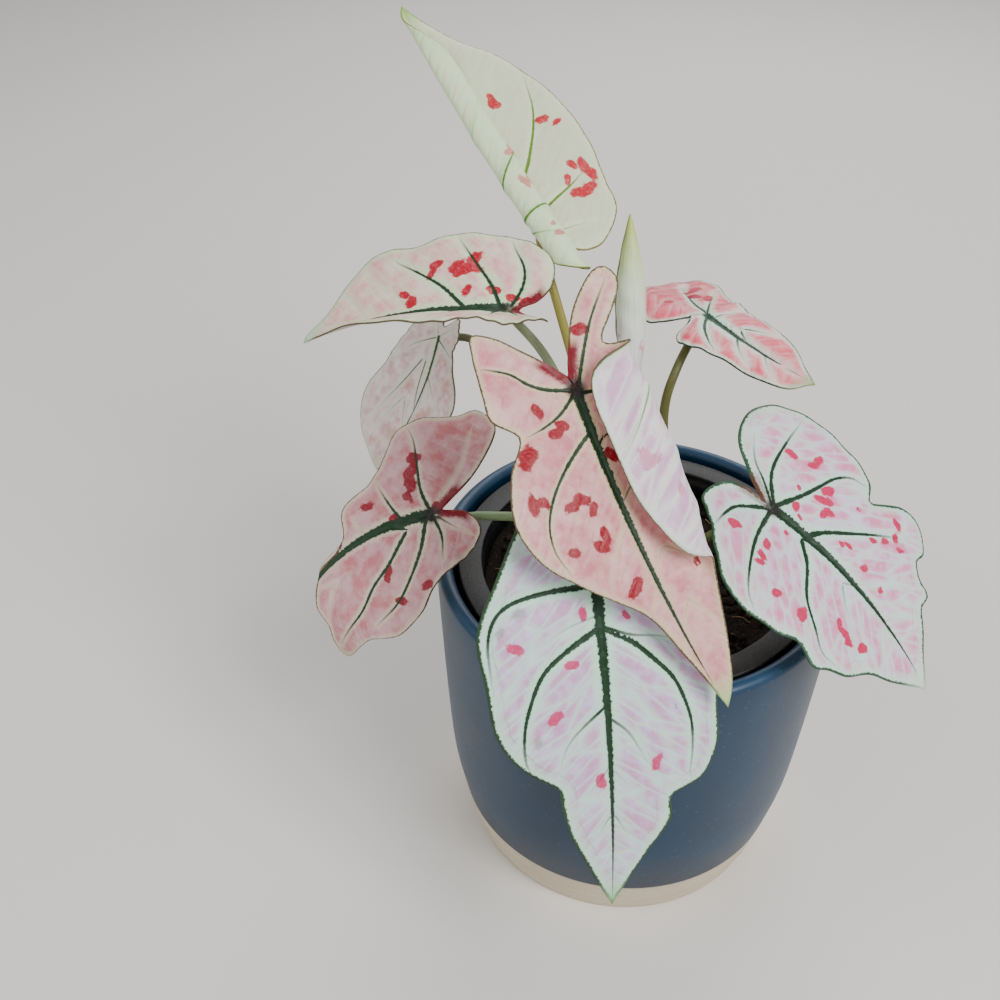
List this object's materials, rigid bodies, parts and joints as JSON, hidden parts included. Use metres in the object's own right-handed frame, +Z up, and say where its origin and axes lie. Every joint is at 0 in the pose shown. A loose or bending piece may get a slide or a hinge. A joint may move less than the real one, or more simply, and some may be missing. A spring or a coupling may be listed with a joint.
{
  "type": "potted caladium plant",
  "caption": "Caladium with heart-shaped pink, white and green spotted leaves on slender stalks, rooted in soil in a plastic nursery pot set inside a round glazed ceramic pot.",
  "frame": {"origin": "centre of the flat base that the ceramic pot rests on", "axes": "+Z up along the pot's axis; -Y is the side that the front leaf hangs over; +X to its right"},
  "size_m": [0.2119, 0.1924, 0.2815],
  "materials": {
    "glaze": "satin navy glaze over beige stoneware, with an unglazed band at the foot",
    "plastic": "matt dark grey moulded plastic",
    "peat": "damp dark crumbly peat",
    "tuber_skin": "rough brown skin",
    "blade": "satin leaf, pink and white with dark green veins and crimson spots",
    "young_blade": "satin young leaf, cream and pale green",
    "stalk": "smooth olive green stalk"
  },
  "bodies": {
    "root": {"pot": "glaze", "nursery_pot": "plastic", "soil": "peat", "tuber": "tuber_skin", "leaf_front": "blade", "leaf_centre": "blade", "leaf_right": "blade", "leaf_left": "blade", "leaf_upper_left": "blade", "leaf_back_left": "blade", "leaf_back_right": "blade", "leaf_top": "young_blade", "leaf_spear": "young_blade", "petiole_front": "stalk", "petiole_centre": "stalk", "petiole_right": "stalk", "petiole_left": "stalk", "petiole_upper_left": "stalk", "petiole_back_left": "stalk", "petiole_back_right": "stalk", "petiole_top": "stalk", "petiole_spear": "stalk"}
  },
  "joints": []
}
